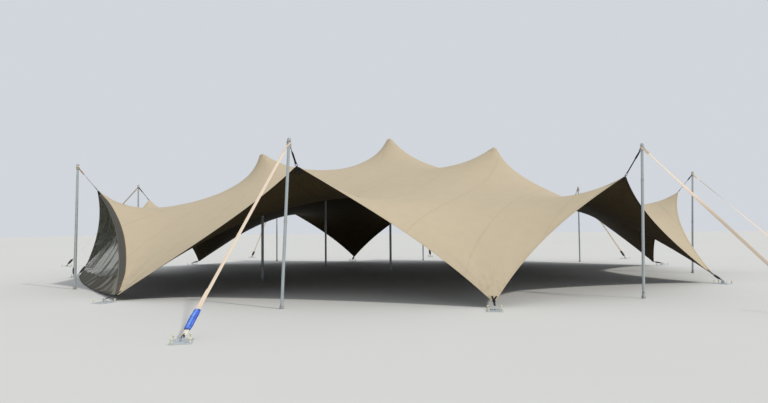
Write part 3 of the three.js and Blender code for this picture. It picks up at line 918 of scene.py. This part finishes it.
# Round reinforcing patches where the inner poles push the fabric up.
def make_peaks(canopy):
    shape = Shape()
    angle = np.linspace(0, 2 * math.pi, 41)[:-1]
    spokes = np.stack([np.cos(angle), np.sin(angle), 0 * angle - 0.5], -1)
    for _, (x, y), height in MASTS:
        top = np.array((x, y, height + CAD_FABRIC / 2 + PEAK))
        for side, reach in PATCH_REACH:
            grid = top + spokes * np.linspace(0.004, reach, 12)[:, None, None]
            upper, lower = canopy.lay(grid, side, 0.0014)
            loft(shape, np.concatenate([upper, lower[::-1]]), 0 if side > 0 else 1, loop=True)
    return shape.build("peak_patches", [SEAM_TOP, SEAM_UNDER_SHADED], "stretch_fabric")


# The sheer wall
def make_wall(canopy):
    hung = canopy.middle[0] - canopy.facing[0] * 0.004

    def edge(places):
        return read_line(places, canopy.v, hung)

    # At the left the border goes on below the fabric's tip, down to the ground.
    span = CELLS // 4
    rows = (np.linspace(2, 6, 30)[:-1], np.linspace(6, span, 150), span + np.arange(1, 21) / 20)
    level = np.concatenate(rows)
    reach = np.interp(level, LEFT_ROWS, RIGHT_ROWS)
    tip = edge(WALL_CORNER + span)
    below = np.maximum(level - span, 0)[:, None]
    left = edge(WALL_CORNER + np.minimum(level, span)) + (WALL_GROUND - tip) * below
    right = edge(WALL_CORNER - reach)
    s = np.linspace(0, 1, 121)
    share = (reach / span)[:, None]
    belly = 4 * s * (1 - s) * share
    first, last = left[-1], right[-1]
    outward = unit((last[1] - first[1], first[0] - last[0], 0))
    grid = left[:, None] * (1 - s)[:, None] + right[:, None] * s[:, None]
    grid = grid + outward * (WALL_BOW * belly)[..., None]
    grid[..., 2] -= WALL_DROP * belly
    facing = facings(grid)
    facing *= np.sign((facing @ outward).mean())
    # Wrinkles sweep down from the edge at the right and level out towards the lower left.
    slope = share + 0.55 * s**1.6
    free = smooth(s, 0.0, 0.10) * (1 - smooth(s, 0.90, 1.0)) * smooth(share, 0.04, 0.25)
    drift = 0.22 * np.sin(5.1 * s + 2.0 * share) + 0.15 * np.sin(9.0 * share + 1.0)

    def creases(times, shift):
        return 1 - 2 * np.abs(np.sin(math.pi * (times * slope + shift))) ** 0.7

    foot = smooth(share, 0.70, 0.92)
    wave = 0.4 * creases(5.3, drift) * smooth(slope, 0.35, 0.8)
    wave += 0.6 * creases(12.7, 0.3 - 1.2 * drift) * smooth(np.sin(3.1 * slope + 4 * s), -0.9, 0.3)
    wave += 0.6 * creases(23.3, 0.8 + 1.7 * drift) * smooth(np.sin(5.3 * slope - 3 * s + 1), -0.8, 0.3)
    wave += 0.5 * creases(17.9, 0.5 - drift) * (smooth(s, 0.35, 0.8) * smooth(share, 0.35, 0.6) + foot)
    wave *= free
    grid = grid + facing * (0.012 * wave)[..., None]
    to_right, to_left = sizes(grid - right[:, None]), sizes(grid - left[:, None])
    to_hem = sizes(grid - grid[-1:])
    hem = 0.20 + 0.13 * smooth(s, 0.1, 0.6) + 0.10 * smooth(s, 0.6, 0.95) + 0.07 * wave
    veil = 1 - smooth(to_right, 0.13, 0.15)
    band = 0.085 + 0.35 * smooth(level, span - 1, span + 1)[:, None]
    veil = np.maximum(veil, 1 - smooth(to_left, band, band * 1.2))
    veil = np.maximum(veil, 1 - smooth(to_hem, hem, hem + 0.28))
    facing = facings(grid)
    across = sizes(np.diff(grid, axis=1, prepend=grid[:, :1])).cumsum(axis=1)
    down = sizes(np.diff(grid, axis=0, prepend=grid[:1])).cumsum(axis=0)
    # Painted shade: under the edge at the right the mesh is made darker and less see-through, standing in
    # for the shade behind it.
    ends = share - 0.26 * (1 - s) - 0.03 * wave
    dense = smooth(s, 0.25, 0.55) * smooth(share, 0.44, 0.52) * (1 - smooth(ends, 0.57, 0.64))
    # Towards the lower right, fold is raised past the folds' height, so the mesh is drawn lighter and less
    # see-through there.
    fold = wave + 0.7 * foot * smooth(s, 0.60, 0.92)
    fields = {"cloth": np.stack([across, down, 0 * down], -1), "veil": np.stack([veil, fold, dense], -1)}
    mesh = sheet_mesh("mesh_wall_cloth", grid, facing, WALL_HALF, [SHEER], fields)
    piece = place("wall_cloth", mesh, "sheer_mesh", ["mesh_wall"])
    hem_shape = Shape()
    ribbon(hem_shape, grid[-1] + facing[-1] * 0.0006, (0, 0, 1), 0.03, 0.004)
    seam = grid[30:, 24]
    ribbon(hem_shape, seam, np.cross(facing[30:, 24], tangents(seam)), 0.012, 0.003)
    return piece, hem_shape.build("wall_hem", [HEM_GREY_WEB], "sheer_mesh")


# The wall's opaque header, sewn over the canopy's edge on both sides of its corner and folded round it
def make_header(canopy):
    shape = Shape()
    edge, facing = canopy.middle[0], canopy.facing[0]
    inward = unit(square_to(canopy.middle[1] - edge, tangents(edge)))
    section = [*HEADER_FOLD, *((d, -h) for d, h in reversed(HEADER_FOLD))]
    for side in (-1, 1):
        places = WALL_CORNER + side * np.linspace(1.2, CELLS // 4 - 1.0, 90)
        line = read_line(places, canopy.v, edge)
        way = unit(read_line(places, canopy.v, inward))
        face = unit(read_line(places, canopy.v, facing))
        length = arc_lengths(line)
        part = np.linspace(0, 1, 90)
        wide = HEADER_WIDE * smooth(part, 0.0, 0.12) * (1 - 0.5 * smooth(part, 0.85, 1.0)) + 0.004
        steps = np.linspace(0.0, 1.0, 5)
        grid = line[:, None] + way[:, None] * (wide[:, None] * steps)[..., None]
        canopy.hug(shape, grid, 1, 0.0042, 0, strip_along(length, wide[:, None] * steps))
        trim = line[:, None] + way[:, None] * (wide[:, None] + (-0.004, 0.005, 0.014))[..., None]
        canopy.hug(shape, trim, 1, 0.0058, 1, strip_along(length, 0.0, (-1, 0, 1)))
        rings = np.stack([line + way * d + face * h for d, h in section], 1)
        loft(shape, rings, 0, strip_along(length, [d for d, _ in section]))
    return shape.build("wall_header", [HEM_GREY, TRIM_WEB], "stretch_fabric")


# A ring of round wire that lies square to a way
def ring(shape, centre, way, radius, wire, mark):
    way = unit(way)
    a = unit(np.cross(way, (0.3, 0.2, 0.93)))
    b = np.cross(way, a)
    tube(shape, centre + sweep(a, b, circle(28)[:, None]) * radius, wire, mark, loop=True)


# A band sewn flat round webs that run together.
def wrap(shape, start, axis, face, length, width, height):
    across = np.cross(face, axis)
    angle = circle(20)[:, None]
    rings = []
    for part, full in ((0, 0.75), (0.15, 1), (0.85, 1), (1, 0.75)):
        sides = across * np.cos(angle) * width / 2 + face * np.sin(angle) * height / 2
        rings.append(start + axis * length * part + sides * full)
    loft(shape, rings, 0)


# Webs sewn fanwise under the fabric's tip and drawn together on a ring, and on a low tip two short
# ones on top, with a band round them all.
def make_fan(canopy, number, place_at, look, low):
    tip, pull, across, face = place_at
    shape = Shape()
    eye = tip + pull * 0.045
    webs = [(-1, -0.52, 0.19), (-1, -0.02, 0.23), (-1, 0.48, 0.19)]
    if low:
        webs += [(1, -0.30, 0.15), (1, 0.28, 0.14)]
    half = np.array((-1, 0, 1))
    for layer, (side, turn, length) in enumerate(webs):
        ahead = -pull * math.cos(turn) + across * math.sin(turn)
        wide = np.cross(face, ahead)
        steps = np.linspace(0.02, length, 9)
        path = tip + ahead * steps[:, None]
        upper, lower = canopy.lay(path[:, None] + wide * half[:, None] * 0.016, side, 0.0032)
        lift = face * side * (0.001 + FABRIC_HALF)
        start = eye + pull * 0.0012 * layer + lift * 1.5 + wide * half[:, None] * 0.011
        upper, lower = np.concatenate([[start + lift], upper]), np.concatenate([[start - lift], lower])
        shape.add_sheet(upper, lower, 0, strip_along([-0.05, *steps], half * 0.016, half))
    if low:
        wrap(shape, tip - pull * 0.004, pull, face, 0.042, 0.062, 0.024)
    ring(shape, eye + pull * 0.012, face, 0.030, 0.0055, 1)
    return shape.build(f"tip_webs_{number}", [look, FORGED], "black_webbing")


# A strap sewn in a loop round a pole and drawn away from it. It turns flat beside the pole, and
# on its way it may lie over to one side by a share of a quarter turn.
def looped_strap(shape, start, axis_point, radius, width, lay=0.0):
    start, axis_point = np.asarray(start, float), np.asarray(axis_point, float)
    along = unit(start - axis_point)
    across = level_across(along)
    up = np.cross(along, across)
    up = up if up[2] > 0 else -up
    mouth = radius + 0.11
    bend = radius + 0.0035
    opening = math.acos(bend / mouth)
    angle = np.linspace(opening, 2 * math.pi - opening, 26)[:, None]
    arc = axis_point + sweep(along, across, angle) * bend
    join = axis_point + along * mouth
    path = np.concatenate([[join + across * 0.002], arc, [join - across * 0.002]])
    ribbon(shape, path, up, width * 0.55, 0.003)
    length = np.linalg.norm(start - join)
    steps = np.linspace(0, 1, max(12, int(length / 0.08)))
    run = join - along * 0.02 + (start - join + along * 0.02) * steps[:, None]
    over = lay * smooth(steps, 0.10, 0.55) * (1 - smooth(steps, 0.90, 0.98))
    twist = (smooth(steps * length, 0.02, 0.18) - over) * math.pi / 2
    ribbon(shape, run, sweep(up, across, twist[:, None]), width, 0.0042)


def make_tip_strap(number, high, look):
    tip = np.array(high[0])
    head = pole_head(high)
    pull = unit(head - tip)
    shape = Shape()
    looped_strap(shape, tip + pull * 0.09, head, HEAD_RADIUS, STRAP_WIDE)
    buckle = tip + pull * 0.11
    across = level_across(pull)
    for step in (0.0, 0.022):
        bar = [buckle + pull * step + across * end for end in (-0.026, 0.026)]
        ribbon(shape, bar, pull, 0.007, 0.011, 1)
    shape.build(f"head_strap_{number}", [look, FORGED], "black_webbing", [f"tip_strap_{number}"])


# A padded sleeve over a ratchet, open at both ends, with painted shade inside its openings.
def sleeve(shape, start, axis, across, length, width, height, marks, turn=0.0):
    mark, inside, closing = marks
    up = np.cross(axis, across)
    angle = circle(30)
    flat_x, flat_y = (np.sign(f) * np.abs(f) ** 0.75 for f in (np.cos(angle), np.sin(angle)))
    rings = []
    for t in np.linspace(0, 1, 26):
        swell = math.sin(math.pi * t) ** 0.5
        wide = width / 2 * (0.86 + 0.14 * swell)
        high = height / 2 * (0.72 + 0.28 * swell)
        crinkle = 1 + 0.035 * np.sin(3 * angle + 9 * t + turn) * math.sin(math.pi * t)
        crinkle = crinkle + 0.02 * np.sin(7 * angle - 23 * t)
        centre = np.asarray(start) + axis * length * t
        x, y = flat_x * wide * crinkle, flat_y * high * crinkle
        rings.append(centre + across * x[:, None] + up * y[:, None])
    for end, way, rim in ((0, 1, rings[0]), (-1, -1, rings[-1])):
        centre = rim.mean(0)
        steps = ((0.93, -0.002), (0.86, 0.004), (0.82, 0.02), (0.7, 0.026))
        lip = [centre + (rim - centre) * f + axis * way * d for f, d in steps]
        rings = lip[::-1] + rings if end == 0 else rings + lip
    first = len(shape.faces)
    loft(shape, rings, mark, ends=inside)
    sides = len(angle)
    # The lips at both ends take the finish inside: painted shade in the openings.
    for band in (0, 1, len(rings) - 3, len(rings) - 2):
        for k in range(sides):
            shape.marks[first + band * sides + k] = inside
    # A closing flap along the crown, in the finish closing. On the blue cover that finish is a lighter
    # blue, a painted highlight.
    t = np.linspace(0.03, 0.97, 20)[:, None]
    rise = height * (0.37 + 0.14 * np.sin(math.pi * t) ** 0.5)
    flap = start + axis * length * t + up * rise - across * width * 0.06
    ribbon(shape, flap, across, width * 0.34, 0.004, closing)


# Where the pin of a bracket lies over a plate.
def pin_at(plate, height=POST_HEIGHT):
    return np.array((*plate, PLATE[2] - 0.001 + (height - PIN_DROP)))


# Steel bracket on a plate: two cheeks and a pin that the shackle hangs on.
def bracket(shape, plate, turn, height=POST_HEIGHT):
    ahead, aside = level_axes(turn)
    base = np.array((*plate, PLATE[2] - 0.001))
    angle = np.linspace(0, math.pi, 12)
    outline = [(0.036, 0.0)] + [(0.024 * math.cos(a), height - 0.024 + 0.024 * math.sin(a)) for a in angle]
    outline.append((-0.036, 0.0))
    for side in (-1, 1):
        faces = []
        for depth in (side * 0.020, side * 0.027):
            faces.append([base + ahead * x + aside * depth + (0, 0, z) for x, z in outline])
        loft(shape, faces, 0)
    pin = pin_at(plate, height)
    head = [(0.011, 0.034), (0.011, 0.028), (0.007, 0.028)]
    turned(shape, [(r, -z) for r, z in head] + head[::-1], pin, aside, 14)
    return pin


# U-shaped shackle from a pin towards an end
def shackle(shape, pin, end):
    axis = unit(np.subtract(end, pin))
    across = level_across(axis)
    angle = np.linspace(0, math.pi, 11)
    path = [pin + across * 0.015 - axis * 0.004, pin + across * 0.017 + axis * 0.02]
    for a in angle:
        along = axis * (SHACKLE_REACH + SHACKLE_BEND * math.sin(a))
        path.append(pin + along + across * SHACKLE_BEND * math.cos(a))
    path += [pin - across * 0.017 + axis * 0.02, pin - across * 0.015 - axis * 0.004]
    tube(shape, path, 0.0055, 1)
    return pin + axis * (SHACKLE_REACH + SHACKLE_BEND)


# A plate with round corners and a stake in each, leaning and driven in unevenly
def plate(shape, centre, turn, dice):
    length, width, thick = PLATE
    ahead, aside = level_axes(turn)
    base = np.array((*centre, 0))

    def outline(inset, z):
        points = []
        for k, (a, b) in enumerate([(1, 1), (-1, 1), (-1, -1), (1, -1)]):
            for step in np.linspace(0, math.pi / 2, 6):
                angle = k * math.pi / 2 + step
                x = a * (length / 2 - 0.022) + (0.022 - inset) * math.cos(angle)
                y = b * (width / 2 - 0.022) + (0.022 - inset) * math.sin(angle)
                points.append(base + ahead * x + aside * y + (0, 0, z))
        return points

    levels = [(0.001, 0), (0, 0.001), (0, thick - 0.0015), (0.0015, thick)]
    loft(shape, [outline(inset, z) for inset, z in levels], 0)
    for a, b in ((1, 1), (1, -1), (-1, 1), (-1, -1)):
        spot = base + ahead * a * (length / 2 - STAKE_INSET) + aside * b * (width / 2 - STAKE_INSET)
        lean = dice.uniform(-0.09, 0.09, 2)
        rise = dice.uniform(-0.014, 0.0)
        top = STAKE_HEIGHT + rise
        collar = [(0.022, 0.0), (0.022, thick + 0.004), (0.015, thick + 0.006)]
        turned(shape, collar, spot, sides=18)
        stake = [(0.0115, 0.002), (0.0115, top - 0.024), (0.013, top - 0.020), (0.0215, top - 0.015)]
        stake += [(0.0225, top - 0.009), (0.019, top - 0.002), (0.010, top)]
        turned_runs(shape, [(2, stake)], spot, 20, lean)


def make_hold_down(number, low, high, dice):
    tip, spot = np.array(low[0]), low[1]
    shape = Shape()
    turn = math.atan2(tip[1] - spot[1], tip[0] - spot[0])
    plate(shape, spot, turn, dice)
    pin = bracket(shape, spot, turn, STAKE_HEIGHT)
    pull = unit(pin - tip)
    eye = tip + pull * 0.085
    end = shackle(shape, pin, eye)
    across = level_across(pull)
    run = end + (eye - end) * np.linspace(-0.04, 1.02, 14)[:, None]
    ribbon(shape, run, across, STRAP_WIDE, 0.0045, 3)
    length = np.linalg.norm(eye - end)
    if number not in (1, 8) and length > 0.1:
        cover = min(length * 0.92, 0.24)
        sleeve(shape, end + pull * -0.012, unit(eye - end), across, cover, 0.082, 0.050, (4, 5, 4), number)
    if high[2] is None:
        eye_spot = shared_eye(low, high)
        toward = pole_head(high) - np.array((*eye_spot, 0))
        second = bracket(shape, eye_spot, math.atan2(toward[1], toward[0]))
        shackle(shape, second, pole_head(high))
    # Finish 5 is the painted shade inside the cover's open ends.
    looks = [GALVANISED, FORGED, STAKE_PAINT, BLACK_WEB, BLACK_COVER, INSIDE_PAINTED_SHADE]
    return shape.build(f"ground_plate_{number}", looks, "plate_steel", [f"hold_down_{number}"])


def shared_eye(low, high):
    dx, dy = high[1][0] - low[1][0], high[1][1] - low[1][1]
    scale = SHARED_OFFSET / math.hypot(dx, dy)
    return low[1][0] + dy * scale, low[1][1] - dx * scale


def make_guy(number, low, high, dice):
    spot = high[2] or shared_eye(low, high)
    head = pole_head(high)
    turn = math.atan2(head[1] - spot[1], head[0] - spot[0])
    pin = pin_at(spot)
    if high[2] is not None:
        steel = Shape()
        plate(steel, spot, turn + (FRONT_PLATE_TURN if number == 8 else 0), dice)
        bracket(steel, spot, turn)
        shackle(steel, pin, head)
        looks = [GALVANISED, FORGED, STAKE_PAINT]
        steel.build(f"guy_plate_{number}", looks, "plate_steel", [f"guy_anchor_{number}"])
    axis = unit(head - pin)
    across = level_across(axis)
    shape = Shape()
    start = pin + axis * 0.064
    looped_strap(shape, start, head, HEAD_RADIUS, GUY_WIDE, GUY_LAY[number - 1])
    ring(shape, pin + axis * 0.072, across, 0.018, 0.005, 3)
    cover = pin + axis * (LUG_LENGTH + COVER_AFTER_LUG)
    blue = number == 8
    sleeve(shape, cover, axis, across, *COVER, (1, 2, 5 if blue else 1), number)
    up = np.cross(axis, across)
    tail = cover + axis * 0.30 + across * 0.016 + up * 0.012
    steps = np.linspace(0, 1, 10)[:, None]
    ribbon(shape, tail + (axis * 0.42 - up * 0.009) * steps, across, 0.044, 0.003)
    lower_end = pin + axis * (0.082 + (LUG_LENGTH + 0.02) * steps)
    ribbon(shape, lower_end, across, GUY_WIDE + 0.002, 0.008, 4)
    # The covers' open ends take painted shade.
    looks = [PEACH_WEB, BLUE_COVER if blue else BLACK_COVER, INSIDE_PAINTED_SHADE, FORGED, CREAM_WEB]
    # The blue cover's flap is a lighter blue: a painted highlight.
    looks += [BLUE_FLAP_HIGHLIGHT] if blue else []
    return shape.build(f"guy_line_{number}", looks, "guy_webbing", [f"guy_{number}"])


# Poles. A foot cap's outline: how wide and high it is, and how much its lower rim is rounded.
def foot_cap(wide, high, rounded, r):
    cap = [(wide - rounded, 0.0), (wide, 0.003), (wide, high * 0.6), (wide - 0.006, high * 0.8)]
    return [*cap, (r + 0.0025, high), (r, high + 0.002)]


def make_side_pole(number, high):
    shape = Shape()
    height, r, head = POLE_HEIGHT, POLE_RADIUS, HEAD_RADIUS
    join = 2.43 if number == 1 else 1.62
    runs = [
        (1, foot_cap(0.042, 0.060, 0.002, r)),
        (0, [(r, z) for z in (0.5, 1.0, 1.5, join - 0.03)]),
        (2, [(r + 0.0025, join - 0.028), (r + 0.0025, join + 0.028), (r - 0.0015, join + 0.03)]),
        (0, [(r - 0.0015, z) for z in (join + 0.2, 2.9, height - 0.15)]),
        (2, [(head - 0.001, height - 0.149), (head, height - 0.147), (head, height - 0.035)]),
        (2, [(head - 0.003, height - 0.028), (0.024, height - 0.008), (0.010, height)]),
    ]
    turned_runs(shape, runs, (*high[1], 0), 28, [offset / height for offset in high[3]])
    shape.build(f"pole_{number}", [TUBE, FOOT, CAP_GREY], "pole_metal", [f"side_pole_{number}"], 30)


def make_mast(node, foot, height):
    shape = Shape()
    top = height + CAD_FABRIC / 2 - FABRIC_HALF - 0.0035
    r, join = MAST_RADIUS, height * 0.48
    pad = [(0.052, height - 0.055), (0.057, height - 0.035)]
    runs = [
        (1, foot_cap(0.050, 0.070, 0.003, r)),
        (0, [(r, 0.9), (r, join)]),
        (2, [(r + 0.004, join + 0.002), (r + 0.004, join + 0.06), (r - 0.003, join + 0.062)]),
        (0, [(r - 0.003, height * 0.75), (r - 0.003, height - 0.10)]),
        (3, pad + [(wide, top + peak(wide)) for wide in (0.055, 0.046, 0.034, 0.020, 0.008, 0.0)]),
    ]
    turned_runs(shape, runs, (*foot, 0), 32)
    shape.build(f"mast_{node}", [TUBE, FOOT, CAP_GREY, PAD], "pole_metal", [node], 30)


# Stage and light
def make_stage():
    bpy.ops.mesh.primitive_plane_add(size=260, location=(0, 30, -0.001))
    floor = bpy.context.object
    floor.name = "floor"
    look = Look("floor", 0.9, Specular_IOR_Level=0.1)
    pale = tone(214, 213, 208)
    colour = look.mix(look.noise(look.place(), 0.15, 3.0), shade(pale, 0.97), shade(pale, 1.03))
    floor.data.materials.append(look.done(colour))
    world = bpy.data.worlds.new("studio")
    world.use_nodes = True
    sky = world.node_tree.nodes["Background"]
    sky.inputs["Color"].default_value = SKY_COLOUR
    sky.inputs["Strength"].default_value = 0.80
    bpy.context.scene.world = world
    lamp = bpy.data.lights.new("sun", "SUN")
    lamp.energy = 1.6
    lamp.angle = math.radians(3)
    lamp.color = SUN_COLOUR
    sun = bpy.data.objects.new("sun", lamp)
    sun.rotation_euler = Vector(TO_SUN).to_track_quat("Z", "Y").to_euler()
    bpy.context.scene.collection.objects.link(sun)
    bpy.context.scene.view_settings.view_transform = "Standard"


make_camera()
make_stage()
canopy = Canopy()
canopy.build()
seams = make_seams(canopy)
hem = make_hem(canopy)
patches = make_peaks(canopy)
header = make_header(canopy)
wall, wall_hem = make_wall(canopy)
dice = np.random.default_rng(7)
for order, fastening in enumerate(fastenings()):
    make_fan(canopy, order + 1, fastening, TAN_WEB if order == 13 else BLACK_WEB, order % 2 == 0)
for order, (low, high) in enumerate(zip(LOW_POINTS, HIGH_POINTS)):
    make_side_pole(order + 1, high)
    make_tip_strap(order + 1, high, TAN_WEB if order == 6 else BLACK_WEB)
    make_guy(order + 1, low, high, dice)
    make_hold_down(order + 1, low, high, dice)
for mast in MASTS:
    make_mast(*mast)
